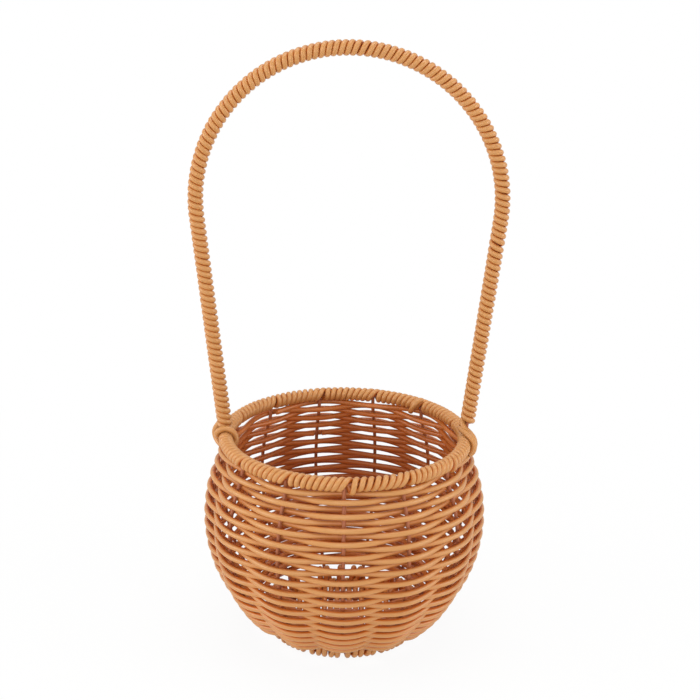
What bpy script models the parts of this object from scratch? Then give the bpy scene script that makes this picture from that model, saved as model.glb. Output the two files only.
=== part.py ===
"""A round knitting basket: resin cane woven and wound over a welded wire frame.

The frame is two wire rings joined by thirteen curved stakes, with five wires across the foot
and a tall wire hoop for the handle. One cane is woven round the stakes from the foot to the rim,
in and out by turns, in five lengths that meet behind a stake. Both rings and the handle are
wound with the same cane. The front faces -Y, the handle spans X and the foot stands on Z = 0.
"""

import math

import bmesh
import bpy
from mathutils import Matrix, Vector

# Driving dimensions in metres

CANE_DIAMETER = 0.0030
CLEARANCE = 0.0003

STAKE_COUNT = 13
STAKE_DIAMETER = 0.0019
RING_WIRE_DIAMETER = 0.0016
HANDLE_WIRE_DIAMETER = 0.0020
FLOOR_WIRE_DIAMETER = 0.0018

RIM_RADIUS = 0.0630
RIM_HEIGHT = 0.1094
BELLY_BULGE = 0.0077
BELLY_HEIGHT_SHARE = 0.6124
NECK_DEPTH = 0.0081
NECK_BEND = 0.0050
FOOT_RADIUS = 0.0380
FOOT_FLAT_DEPTH = 0.0005

HANDLE_ARCH_RADIUS = 0.0768
HANDLE_ARCH_HEIGHT = 0.2355

ROUND_PITCH = 0.0034
WEAVE_START = 0.0092
WEAVER_LENGTHS = 5

HANDLE_TURN_PITCH = 0.0045
RIM_TURNS_PER_BAY = 7
FOOT_TURNS_PER_BAY = 3
GROOVE_DEPTH = 0.0009

FLOOR_WIRE_COUNT = 3
FLOOR_WIRE_SPACING = 0.0170
FLOOR_CANE_PITCH = 0.0034

LASHING_FROM = math.radians(-18)
LASHING_TO = math.radians(198)
LASHING_POINTS = 11

# Counts that set how finely the round pieces are drawn

STAKE_POINTS = 12
RING_POINTS_PER_BAY = 2
HANDLE_WIRE_POINTS = 44
PROFILE_SAMPLES = 160
DRILL_SIDES = 6
FOUR_SIDES = 0
SIX_SIDES = 1

# Colours, roughness and metallic values

CANE_COLOUR = (0.67, 0.34, 0.14, 1.0)
WIRE_COLOUR = (0.16, 0.075, 0.04, 1.0)
CANE_ROUGHNESS = 0.48
WIRE_ROUGHNESS = 0.55

# Sizes that follow from the driving ones

CANE_RADIUS = CANE_DIAMETER / 2
STAKE_RADIUS = STAKE_DIAMETER / 2
RING_WIRE_RADIUS = RING_WIRE_DIAMETER / 2
HANDLE_WIRE_RADIUS = HANDLE_WIRE_DIAMETER / 2
FLOOR_WIRE_RADIUS = FLOOR_WIRE_DIAMETER / 2
RING_WINDING_RADIUS = RING_WIRE_RADIUS + CANE_DIAMETER
HANDLE_WINDING_RADIUS = HANDLE_WIRE_RADIUS + CANE_DIAMETER
FOOT_HEIGHT = RING_WINDING_RADIUS - FOOT_FLAT_DEPTH
BELLY_RADIUS = RIM_RADIUS + BELLY_BULGE
BELLY_HEIGHT = RIM_HEIGHT * BELLY_HEIGHT_SHARE
NECK_HEIGHT = RIM_HEIGHT - NECK_DEPTH
LOWER_HALF_HEIGHT = (BELLY_HEIGHT - FOOT_HEIGHT) / math.sqrt(
    1 - (FOOT_RADIUS / BELLY_RADIUS) ** 2
)
UPPER_HALF_HEIGHT = (NECK_HEIGHT - BELLY_HEIGHT) / math.sqrt(
    1 - (RIM_RADIUS / BELLY_RADIUS) ** 2
)
BAY_ANGLE = math.tau / STAKE_COUNT


def clear_scene():
    for item in list(bpy.data.objects):
        bpy.data.objects.remove(item)


def new_collection(name, parent):
    collection = bpy.data.collections.new(name)
    parent.children.link(collection)
    return collection


def new_material(name, colour, roughness, metallic):
    material = bpy.data.materials.new(name)
    material.use_nodes = True
    shader = material.node_tree.nodes["Principled BSDF"]
    shader.inputs["Base Color"].default_value = colour
    shader.inputs["Roughness"].default_value = roughness
    shader.inputs["Metallic"].default_value = metallic
    material.diffuse_color = colour
    return material


def cane_material(name):
    return new_material(name + "_resin", CANE_COLOUR, CANE_ROUGHNESS, 0.0)


def wire_material(name):
    return new_material(name + "_paint", WIRE_COLOUR, WIRE_ROUGHNESS, 0.0)


def tube(name, points, radius, resolution, material, collection, closed=False, twist="Z_UP"):
    """A round bar through the points, the corners of its section kept level unless it stands."""
    curve = bpy.data.curves.new(name, "CURVE")
    curve.dimensions = "3D"
    curve.twist_mode = twist
    curve.bevel_depth = radius
    curve.bevel_resolution = resolution
    curve.use_fill_caps = not closed
    spline = curve.splines.new("POLY")
    spline.points.add(len(points) - 1)
    for index, point in enumerate(points):
        spline.points[index].co = (*point, 1)
    spline.use_cyclic_u = closed
    item = bpy.data.objects.new(name, curve)
    if material:
        curve.materials.append(material)
    collection.objects.link(item)
    return item


def draw_in_grooves(item, radius):
    """Narrows every second point of a bar by the groove's depth, which leaves close turns."""
    for point in list(item.data.splines[0].points)[::2]:
        point.radius = 1 - GROOVE_DEPTH / radius


def stand_on_corner(item):
    """Turns a six-sided bar by half a side, so that a corner is its highest and lowest line."""
    for point in item.data.splines[0].points:
        point.tilt = math.pi / 6


def as_mesh(item):
    """The same piece as a closed mesh, so that it can be cut."""
    bpy.context.view_layer.update()
    evaluated = item.evaluated_get(bpy.context.evaluated_depsgraph_get())
    mesh = bpy.data.meshes.new_from_object(evaluated)
    name = item.name
    matrix = item.matrix_world.copy()
    collection = item.users_collection[0]
    bpy.data.objects.remove(item)
    solid = bpy.data.objects.new(name, mesh)
    solid.matrix_world = matrix
    collection.objects.link(solid)
    form = bmesh.new()
    form.from_mesh(mesh)
    bmesh.ops.remove_doubles(form, verts=form.verts, dist=CLEARANCE / 100)
    bmesh.ops.recalc_face_normals(form, faces=form.faces)
    form.to_mesh(mesh)
    form.free()
    return solid


def cut_away(solid, cutters):
    """Cuts every object of the collection from the solid at once."""
    for cutter in cutters.objects:
        cutter.hide_render = True
        cutter.display_type = "WIRE"
    modifier = solid.modifiers.new("Cuts", "BOOLEAN")
    modifier.operation = "DIFFERENCE"
    modifier.solver = "EXACT"
    modifier.operand_type = "COLLECTION"
    modifier.collection = cutters


def drills(name, runs, radius, collection):
    """One cutter made of a straight round bar along each run from one point to another."""
    form = bmesh.new()
    for start, end in runs:
        direction = end - start
        turn = direction.to_track_quat("Z", "Y").to_matrix().to_4x4()
        bmesh.ops.create_cone(
            form,
            cap_ends=True,
            segments=DRILL_SIDES,
            radius1=radius,
            radius2=radius,
            depth=direction.length,
            matrix=Matrix.Translation((start + end) / 2) @ turn,
        )
    mesh = bpy.data.meshes.new(name)
    form.to_mesh(mesh)
    form.free()
    item = bpy.data.objects.new(name, mesh)
    collection.objects.link(item)
    return item


def around(angle, radius, height):
    """A point at this angle from the front, turning to the right as seen from above the front."""
    return Vector((radius * math.sin(angle), -radius * math.cos(angle), height))


def on_ellipse(turn):
    """A point of the wall's line, on one half ellipse below the belly and on another above it."""
    half_height = UPPER_HALF_HEIGHT if turn > 0 else LOWER_HALF_HEIGHT
    return Vector((BELLY_RADIUS * math.cos(turn), BELLY_HEIGHT + half_height * math.sin(turn)))


class WallProfile:
    """The line of a stake: an ellipse from the foot ring to the neck, then a bend straight up.

    A place on it is a distance from the foot ring's centre. It gives the radius, the height and
    the outward normal there.
    """

    def __init__(self):
        foot_turn = -math.acos(FOOT_RADIUS / BELLY_RADIUS)
        neck_turn = math.acos(RIM_RADIUS / BELLY_RADIUS)
        bend_turn = neck_turn - NECK_BEND / UPPER_HALF_HEIGHT
        samples = range(PROFILE_SAMPLES + 1)
        shares = [step / PROFILE_SAMPLES for step in samples]
        self.points = [on_ellipse(foot_turn + (bend_turn - foot_turn) * share) for share in shares]
        bend_start = self.points[-1]
        neck = on_ellipse(neck_turn)
        bend_end = neck + Vector((0.0, NECK_BEND))
        for share in shares[1:]:
            low = bend_start.lerp(neck, share)
            high = neck.lerp(bend_end, share)
            self.points.append(low.lerp(high, share))
        self.points.append(Vector((RIM_RADIUS, RIM_HEIGHT)))
        self.distances = [0.0]
        for before, after in zip(self.points, self.points[1:]):
            self.distances.append(self.distances[-1] + (after - before).length)
        self.length = self.distances[-1]

    def place(self, distance):
        index = 1
        while index < len(self.points) - 1 and self.distances[index] < distance:
            index += 1
        before = self.points[index - 1]
        after = self.points[index]
        run = self.distances[index] - self.distances[index - 1]
        share = (distance - self.distances[index - 1]) / run
        along = (after - before).normalized()
        return before.lerp(after, share), Vector((along.y, -along.x))

    def distance_at_height(self, height):
        index = len(self.points) - 1
        while self.points[index - 1].y > height:
            index -= 1
        before = self.points[index - 1]
        after = self.points[index]
        share = (height - before.y) / (after.y - before.y)
        run = self.distances[index] - self.distances[index - 1]
        return self.distances[index - 1] + share * run


class HandlePath:
    """The line of the handle wire: a leg, an arch of a half circle and more, and a leg.

    Each leg is tangent to the arch and stands on the rim wire. A place on it is a distance from
    the left foot.
    """

    def __init__(self):
        self.foot = Vector((RIM_RADIUS, RIM_HEIGHT))
        self.centre = Vector((0.0, HANDLE_ARCH_HEIGHT))
        reach = self.foot - self.centre
        self.tangent_turn = math.atan2(reach.y, reach.x) + math.acos(
            HANDLE_ARCH_RADIUS / reach.length
        )
        self.leg = math.sqrt(reach.length**2 - HANDLE_ARCH_RADIUS**2)
        self.arch = HANDLE_ARCH_RADIUS * (math.pi - 2 * self.tangent_turn)
        self.length = 2 * self.leg + self.arch
        self.tilt = -self.tangent_turn

    def on_arch(self, turn):
        return self.centre + HANDLE_ARCH_RADIUS * Vector((math.cos(turn), math.sin(turn)))

    def place(self, distance):
        along = min(distance, self.length - distance)
        side = -1 if distance < self.length / 2 else 1
        if along < self.leg:
            point = self.foot.lerp(self.on_arch(self.tangent_turn), along / self.leg)
        else:
            point = self.on_arch(self.tangent_turn + (along - self.leg) / HANDLE_ARCH_RADIUS)
        return Vector((side * point.x, 0.0, point.y))

    def run(self, start, end, steps):
        return [self.place(start + (end - start) * step / steps) for step in range(steps + 1)]


def ring_points(radius, height, per_bay):
    count = STAKE_COUNT * per_bay
    return [around(math.tau * step / count, radius, height) for step in range(count)]


def stake_line(profile, stake_end):
    start = RING_WIRE_RADIUS + CLEARANCE
    end = profile.length - RING_WIRE_RADIUS - CLEARANCE
    points = []
    for step in range(STAKE_POINTS + 1):
        place, _ = profile.place(start + (end - start) * step / STAKE_POINTS)
        points.append(around(stake_end * BAY_ANGLE, place.x, place.y))
    return points


def make_stakes(profile, collection):
    for index in range(STAKE_COUNT):
        name = f"stake_{index + 1:02d}"
        points = stake_line(profile, index)
        material = wire_material(name)
        tube(name, points, STAKE_RADIUS, SIX_SIDES, material, collection, twist="MINIMUM")


def make_ring_wire(name, radius, height, collection):
    points = ring_points(radius, height, RING_POINTS_PER_BAY)
    return tube(
        name, points, RING_WIRE_RADIUS, SIX_SIDES, wire_material(name), collection, closed=True
    )


def make_ring_winding(name, radius, height, turns_per_bay, collection, cutters):
    """A sleeve of close turns round a ring wire, and the cutter for the wire's bore."""
    points = ring_points(radius, height, 2 * turns_per_bay)
    material = cane_material(name)
    winding = tube(
        name, points, RING_WINDING_RADIUS, SIX_SIDES, material, collection, closed=True
    )
    draw_in_grooves(winding, RING_WINDING_RADIUS)
    stand_on_corner(winding)
    winding = as_mesh(winding)
    bore_points = ring_points(radius, height, RING_POINTS_PER_BAY)
    bore_radius = RING_WIRE_RADIUS + CLEARANCE
    as_mesh(
        tube(name + "_bore", bore_points, bore_radius, SIX_SIDES, None, cutters, closed=True)
    )
    return winding


def stake_end_runs(profile, start, end):
    """For each stake, its stretch between two distances along the wall, as a straight run."""
    low, _ = profile.place(start)
    high, _ = profile.place(end)
    runs = []
    for index in range(STAKE_COUNT):
        angle = index * BAY_ANGLE
        runs.append((around(angle, low.x, low.y), around(angle, high.x, high.y)))
    return runs


def make_rim_winding(profile, handle, collection, helpers):
    cutters = new_collection("rim_winding_cutters", helpers)
    winding = make_ring_winding(
        "rim_winding", RIM_RADIUS, RIM_HEIGHT, RIM_TURNS_PER_BAY, collection, cutters
    )
    reach = RING_WINDING_RADIUS + CLEARANCE
    runs = stake_end_runs(profile, profile.length - reach, profile.length)
    drills("rim_stake_notches", runs, STAKE_RADIUS + CLEARANCE, cutters)
    feet = [
        (handle.place(0.0), handle.place(reach + CLEARANCE)),
        (handle.place(handle.length), handle.place(handle.length - reach - CLEARANCE)),
    ]
    drills("rim_handle_notches", feet, HANDLE_WIRE_RADIUS + CLEARANCE, cutters)
    cut_away(winding, cutters)


def make_foot_winding(profile, collection, helpers):
    cutters = new_collection("foot_winding_cutters", helpers)
    winding = make_ring_winding(
        "foot_winding", FOOT_RADIUS, FOOT_HEIGHT, FOOT_TURNS_PER_BAY, collection, cutters
    )
    runs = stake_end_runs(profile, 0.0, RING_WINDING_RADIUS + CLEARANCE)
    drills("foot_stake_notches", runs, STAKE_RADIUS + CLEARANCE, cutters)
    runs = []
    for wire_start, wire_end in floor_wire_runs():
        outward = (wire_end - wire_start).normalized() * CLEARANCE
        runs.append((wire_start - outward, wire_end + outward))
    drills("foot_floor_wire_notches", runs, FLOOR_WIRE_RADIUS + CLEARANCE, cutters)
    ground_size = 4 * FOOT_RADIUS
    form = bmesh.new()
    bmesh.ops.create_cube(form, size=ground_size)
    bmesh.ops.translate(form, verts=form.verts, vec=(0.0, 0.0, -ground_size / 2))
    mesh = bpy.data.meshes.new("ground")
    form.to_mesh(mesh)
    form.free()
    ground = bpy.data.objects.new("ground", mesh)
    cutters.objects.link(ground)
    cut_away(winding, cutters)


def floor_wire_height():
    return FOOT_HEIGHT + RING_WIRE_RADIUS + CLEARANCE + FLOOR_WIRE_RADIUS


def floor_wire_runs():
    """The wires across the foot lie on the ring wire and end above its centre line."""
    runs = []
    for index in range(FLOOR_WIRE_COUNT):
        across = (index - (FLOOR_WIRE_COUNT - 1) / 2) * FLOOR_WIRE_SPACING
        half = math.sqrt(FOOT_RADIUS**2 - across**2)
        start = Vector((-half, across, floor_wire_height()))
        end = Vector((half, across, floor_wire_height()))
        runs.append((start, end))
    return runs


def make_floor_wires(collection):
    for index, (start, end) in enumerate(floor_wire_runs()):
        name = f"floor_wire_{index + 1}"
        tube(name, [start, end], FLOOR_WIRE_RADIUS, SIX_SIDES, wire_material(name), collection)


def make_floor_canes(collection):
    """Straight canes from front to back, each woven over and under the floor wires by turns."""
    half_step = FLOOR_WIRE_SPACING / 2
    swing = swing_past(FLOOR_WIRE_RADIUS, half_step)
    inner_radius = FOOT_RADIUS - RING_WINDING_RADIUS - CLEARANCE
    count = int((2 * inner_radius - CANE_DIAMETER) / FLOOR_CANE_PITCH)
    for index in range(count):
        across = (index - (count - 1) / 2) * FLOOR_CANE_PITCH
        half = math.sqrt(inner_radius**2 - (abs(across) + CANE_RADIUS) ** 2)
        inner_steps = int((half - CANE_RADIUS) / half_step)
        places = [half_step * step for step in range(-inner_steps, inner_steps + 1)]
        side = 1 if index % 2 else -1
        points = []
        for along in [-half, *places, half]:
            wave = math.cos(math.pi * along / FLOOR_WIRE_SPACING)
            points.append(Vector((across, along, floor_wire_height() + side * swing * wave)))
        name = f"floor_cane_{index + 1:02d}"
        tube(name, points, CANE_RADIUS, FOUR_SIDES, cane_material(name), collection)


def swing_past(bar_radius, half_step):
    """How far a cane swings at a bar, to clear it with straight runs from half way between bars."""
    needed = bar_radius + CLEARANCE + CANE_RADIUS
    return needed / math.sqrt(1 - (needed / half_step) ** 2)


def weaver_point(profile, start, rise, crossing):
    """A place on the woven spiral, counted in stakes passed, outside even ones, inside odd ones."""
    place, normal = profile.place(start + rise * crossing)
    swing = swing_past(STAKE_RADIUS, place.x * math.sin(BAY_ANGLE / 2))
    swung = place + normal * swing * math.cos(math.pi * crossing)
    return around(crossing * BAY_ANGLE, swung.x, swung.y)


def make_weavers(profile, collection):
    """The wall: one spiral in several lengths, each from behind one stake to behind another."""
    top = RIM_HEIGHT - RING_WINDING_RADIUS - CLEARANCE - CANE_RADIUS
    end = profile.distance_at_height(top)
    rounds = round((end - WEAVE_START) / ROUND_PITCH)
    crossings = rounds * STAKE_COUNT
    rise = (end - WEAVE_START) / crossings
    joins = [2 * round(crossings * share / WEAVER_LENGTHS / 2) + 1 for share in range(WEAVER_LENGTHS)]
    joins.append(2 * ((crossings - 1) // 2) + 1)
    half_gap = CLEARANCE / (BAY_ANGLE * FOOT_RADIUS)
    for index in range(WEAVER_LENGTHS):
        first = joins[index]
        last = joins[index + 1]
        places = [first + half_gap]
        places += [step / 2 for step in range(2 * first + 1, 2 * last)]
        places.append(last - half_gap)
        points = [weaver_point(profile, WEAVE_START, rise, place) for place in places]
        name = f"weaver_{index + 1}"
        tube(name, points, CANE_RADIUS, FOUR_SIDES, cane_material(name), collection)
    print(f"{rounds} rounds, {1000 * (rise * STAKE_COUNT - CANE_DIAMETER):.2f} mm between rounds")


def make_handle(handle, collection, helpers):
    wire_start = RING_WIRE_RADIUS + CLEARANCE + HANDLE_WIRE_RADIUS * math.sin(handle.tilt)
    points = handle.run(wire_start, handle.length - wire_start, HANDLE_WIRE_POINTS)
    name = "handle_wire"
    material = wire_material(name)
    tube(name, points, HANDLE_WIRE_RADIUS, SIX_SIDES, material, collection, twist="MINIMUM")
    name = "handle_winding"
    start = RING_WINDING_RADIUS + CLEARANCE + HANDLE_WINDING_RADIUS * math.sin(handle.tilt)
    turns = round((handle.length - 2 * start) / HANDLE_TURN_PITCH)
    points = handle.run(start, handle.length - start, 2 * turns)
    material = cane_material(name)
    winding = tube(
        name, points, HANDLE_WINDING_RADIUS, SIX_SIDES, material, collection, twist="MINIMUM"
    )
    draw_in_grooves(winding, HANDLE_WINDING_RADIUS)
    winding = as_mesh(winding)
    bore_points = handle.run(0.0, handle.length, HANDLE_WIRE_POINTS)
    bore_radius = HANDLE_WIRE_RADIUS + CLEARANCE
    cutters = new_collection("handle_winding_cutters", helpers)
    as_mesh(
        tube("handle_bore", bore_points, bore_radius, SIX_SIDES, None, cutters, twist="MINIMUM")
    )
    cut_away(winding, cutters)


def lashing_points(angle_from, angle_to):
    """A strand hooked over the rim winding, open below, slanting from one angle to another."""
    reach = RING_WINDING_RADIUS + CLEARANCE + CANE_RADIUS
    points = []
    for step in range(LASHING_POINTS):
        share = step / (LASHING_POINTS - 1)
        turn = LASHING_FROM + (LASHING_TO - LASHING_FROM) * share
        angle = angle_from + (angle_to - angle_from) * share
        radius = RIM_RADIUS + reach * math.cos(turn)
        points.append(around(angle, radius, RIM_HEIGHT + reach * math.sin(turn)))
    return points


def make_lashings(collection):
    """The strands that bind each foot of the handle, one on the left and two on the right."""
    beside = (HANDLE_WINDING_RADIUS + 2 * CLEARANCE + CANE_RADIUS) / RIM_RADIUS
    next_one = (CANE_DIAMETER + 2 * CLEARANCE) / RIM_RADIUS
    right = math.radians(90)
    strands = {
        "handle_lashing_left": (-right + beside, -right + beside + next_one / 2),
        "handle_lashing_right_1": (right - beside, right - beside - next_one / 2),
        "handle_lashing_right_2": (right - beside - next_one, right - beside - 1.5 * next_one),
    }
    for name, (angle_from, angle_to) in strands.items():
        points = lashing_points(angle_from, angle_to)
        material = cane_material(name)
        tube(name, points, CANE_RADIUS, SIX_SIDES, material, collection, twist="MINIMUM")


def main():
    clear_scene()
    scene_root = bpy.context.scene.collection
    basket = new_collection("knitting_basket", scene_root)
    helpers = new_collection("cutters", scene_root)
    profile = WallProfile()
    handle = HandlePath()
    make_ring_wire("rim_wire", RIM_RADIUS, RIM_HEIGHT, basket)
    make_ring_wire("foot_wire", FOOT_RADIUS, FOOT_HEIGHT, basket)
    make_stakes(profile, basket)
    make_floor_wires(basket)
    make_floor_canes(basket)
    make_weavers(profile, basket)
    make_rim_winding(profile, handle, basket, helpers)
    make_foot_winding(profile, basket, helpers)
    make_handle(handle, basket, helpers)
    make_lashings(basket)


main()
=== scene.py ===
"""A round knitting basket of woven resin cane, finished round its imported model.

Every cane is laid as one run of round cane with its length along V, so that the streaks of the
resin follow it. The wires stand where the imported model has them. The front faces -Y.
"""

import math

import bpy
from mathutils import Matrix, Vector, noise


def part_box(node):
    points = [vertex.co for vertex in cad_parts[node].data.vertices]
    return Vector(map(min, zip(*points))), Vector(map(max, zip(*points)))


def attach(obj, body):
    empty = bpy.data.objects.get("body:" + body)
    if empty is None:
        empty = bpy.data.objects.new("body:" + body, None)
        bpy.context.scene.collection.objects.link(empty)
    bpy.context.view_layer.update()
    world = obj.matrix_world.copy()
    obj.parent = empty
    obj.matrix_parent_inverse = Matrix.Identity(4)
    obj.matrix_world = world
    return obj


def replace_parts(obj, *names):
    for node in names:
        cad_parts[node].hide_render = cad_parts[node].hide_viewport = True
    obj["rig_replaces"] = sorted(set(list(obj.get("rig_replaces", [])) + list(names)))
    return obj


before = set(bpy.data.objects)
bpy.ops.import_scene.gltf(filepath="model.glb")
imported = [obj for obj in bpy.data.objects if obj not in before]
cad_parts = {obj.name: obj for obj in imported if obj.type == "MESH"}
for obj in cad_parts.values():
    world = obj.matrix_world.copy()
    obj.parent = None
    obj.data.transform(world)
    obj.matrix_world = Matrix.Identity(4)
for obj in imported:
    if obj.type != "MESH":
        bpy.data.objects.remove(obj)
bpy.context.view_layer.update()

bl_info = {
    "name": "Knitting Basket",
    "version": (1, 0, 0),
    "blender": (4, 5, 0),
    "location": "View3D > Sidebar > Basket",
    "description": "Weaves and winds a round knitting basket of resin cane on a wire frame",
    "category": "Object",
}

# The wires' diameters and the shape of the wall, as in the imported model, in metres

RING_WIRE_DIAMETER = 0.0016
STAKE_DIAMETER = 0.0019
HANDLE_WIRE_DIAMETER = 0.0020
BELLY_HEIGHT_SHARE = 0.6124
NECK_DEPTH = 0.0081
NECK_BEND = 0.0050

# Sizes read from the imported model, in metres

RIM_LOW, RIM_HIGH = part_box("rim_wire")
FOOT_LOW, FOOT_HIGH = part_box("foot_wire")
STAKE_LOW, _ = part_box("stake_01")
HANDLE_LOW, HANDLE_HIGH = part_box("handle_wire")

RIM_RADIUS = (RIM_HIGH.x - RIM_LOW.x - RING_WIRE_DIAMETER) / 2
RIM_HEIGHT = (RIM_HIGH.z + RIM_LOW.z) / 2
FOOT_RADIUS = (FOOT_HIGH.x - FOOT_LOW.x - RING_WIRE_DIAMETER) / 2
FOOT_HEIGHT = (FOOT_HIGH.z + FOOT_LOW.z) / 2
BELLY_RADIUS = -STAKE_LOW.y - STAKE_DIAMETER / 2
HANDLE_ARCH_RADIUS = (HANDLE_HIGH.x - HANDLE_LOW.x - HANDLE_WIRE_DIAMETER) / 2
HANDLE_ARCH_HEIGHT = HANDLE_HIGH.z - HANDLE_WIRE_DIAMETER / 2 - HANDLE_ARCH_RADIUS

# How finely the round pieces are drawn

CANE_RESOLUTION = 4
WIRE_RESOLUTION = 3
STEPS_PER_BAY = 14
STEPS_PER_TURN = 20
STEPS_PER_STOP = 9
STAKE_STEPS = 48
RING_STEPS = 104
HANDLE_STEPS = 120
FLOOR_WIRE_STEPS = 6
FLOOR_CANE_STEPS = 8
PROFILE_STEPS = 400
LOOP_PARTS = 40
MERGE_DISTANCE = 1e-6
SMOOTH_ANGLE = math.radians(50)

# The room left between two runs that touch, in metres

CONTACT = 0.00002

# The wall: how much higher its rounds lie at the back, and how the last ones close under the rim

WEAVER_LENGTHS = 5
BACK_RAISE = 0.0066
BACK_RAISE_START = 0.62
BACK_RAISE_PEAK = 0.42
TOP_ROUNDS = 7
TOP_DROP = 0.0006
TOP_RISE = 0.0005
TOP_EXTRA_BAYS = 8

# The rim: a loose bay has one turn fewer, and the first turn of a slack bay hangs lower

LOOSE_BAYS = (0,)
SLACK_BAYS = (0, 2)
SLACK_DROP = 0.0019

# The foot: how far its tall loops stand inside the first round, and how much lower at the back

LOOP_INSET = 0.0060
LOOP_DROP = 0.0022
LOOP_BEND = 0.0007

# The handle: where along it the turns have slipped apart, as a share, and how they lean

HANDLE_SLIPS = ((0.19, 0.0004), (0.52, 0.0011), (0.745, 0.0005), (0.80, 0.0011))
SLIP_TURNS = 0.7
HANDLE_LEAN = 0.00030
HANDLE_LEAN_MIDDLE = 0.35
HANDLE_LEAN_SHIFT = 0.9

# Strands tied by hand: mm towards the front, degrees round the rim's wire, and mm from it

LOOSE_END_STAKE = 5
LOOSE_END = (
    (-0.6, 40, 1.0), (-0.8, 84, 2.3), (-0.8, 118, 3.9), (0.0, 150, 4.8), (1.4, 180, 5.2),
    (3.2, 206, 5.4), (4.2, 220, 5.6),
)
LEFT_TIE = (
    (0.8, -12, 3.4), (2.6, 6, 4.4), (4.2, 26, 5.2), (5.0, 52, 5.4), (5.6, 90, 5.4),
    (6.4, 135, 5.4), (7.4, 180, 5.4), (8.8, 222, 5.3),
)
LEFT_TAIL = (
    (-2.6, 22, 6.2), (-2.8, -6, 6.3), (-1.4, -36, 6.2), (1.6, -64, 5.9), (5.0, -88, 5.5),
)
RIGHT_TIE_1 = (
    (3.6, 82, 5.9), (5.8, 58, 5.5), (7.4, 30, 5.4), (8.6, -2, 5.3), (9.4, -36, 5.2),
)
RIGHT_TIE_2 = (
    (-6.4, 100, 2.6), (-4.8, 112, 4.0), (-2.4, 116, 5.4), (0.6, 113, 6.0), (4.2, 102, 5.9),
    (7.6, 80, 5.5), (10.0, 50, 5.4), (11.4, 16, 5.4), (12.2, -20, 5.3), (12.8, -52, 5.2),
)

# Where two of them start on the handle: mm up its leg, degrees round its wire, and mm from it

LEFT_TAIL_ON_LEG = ((9.0, 75, 2.6), (6.2, 28, 3.4))
RIGHT_TIE_1_ON_LEG = ((10.6, 140, 2.5), (9.6, 180, 2.6), (7.8, 215, 2.8), (6.2, 252, 3.3))

# How runs wander by hand: the most, in metres or as a share, how fast along the run, and a seed

WANDERS = {
    "weave_rise": (0.00012, 0.45, 1),
    "weave_swing": (0.06, 0.6, 2),
    "weave_width": (0.015, 0.11, 10),
    "rim_place": (0.00014, 2.1, 3),
    "rim_lift": (0.00009, 1.7, 5),
    "foot_place": (0.0001, 1.9, 8),
    "floor_place": (0.0002, 60.0, 40),
    "handle_place": (0.00016, 1.6, 6),
    "handle_lift": (0.00007, 2.2, 9),
}
WEAVE_LOOSENING = 2.5
SEED_STRIDE = 17.3
SEED_LEVEL = 5.1

# Painted shade: how much the cane's colour deepens in the seams between turns and rounds, and
# behind other canes

PAINTED_SEAM_FACING = 0.66
PAINTED_SEAM_SHARE = 0.95
TURNED_LOSS = 0.45
PAINTED_DEPTH_SHARE = 0.42

# Painted shade on the side that faces the middle, from just above the rim downwards

INNER_FACING = -0.7
INNER_SHADE_SHARE = 0.75
INNER_TOP = RIM_HEIGHT + 0.003
INNER_FULL = RIM_HEIGHT - 0.012

# How often the streaks change along the cane, and what they count beside the slow drift

STREAK_RATE = 50.0
STREAK_SHARE = 0.16

# The share of the enamel's colour that is left where the wire is worn

WORN_SHARE = 0.7

# The stage, in metres, degrees and watts

FLOOR_SIZE = 6.0
SHADOW_NEAR = 0.08
SHADOW_FAR = 0.40
SHADOW_WHITE = 0.93
WORLD_LIGHT = 0.28
CAMERA_PLACE = (0.0017, -0.7915, 0.4330)
CAMERA_LENS = 83.73
CAMERA_TILT = 19.21
CAMERA_ROLL = 0.9
LAMP_AIM = Vector((0.0, 0.0, 0.1))
LAMPS = (
    ("left_lamp", (-1.4, -0.3, 0.4), 1.0, 12.0),
    ("right_lamp", (1.4, -0.3, 0.4), 1.0, 11.0),
    ("front_lamp", (-0.2, -1.6, 0.6), 1.2, 10.0),
    ("top_lamp", (0.0, 0.1, 1.5), 1.2, 13.0),
)


def linear(code):
    """An sRGB hex value as a linear colour."""
    shares = [int(code[place : place + 2], 16) / 255 for place in (1, 3, 5)]
    return tuple(
        share / 12.92 if share <= 0.04045 else ((share + 0.055) / 1.055) ** 2.4 for share in shares
    )


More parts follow.
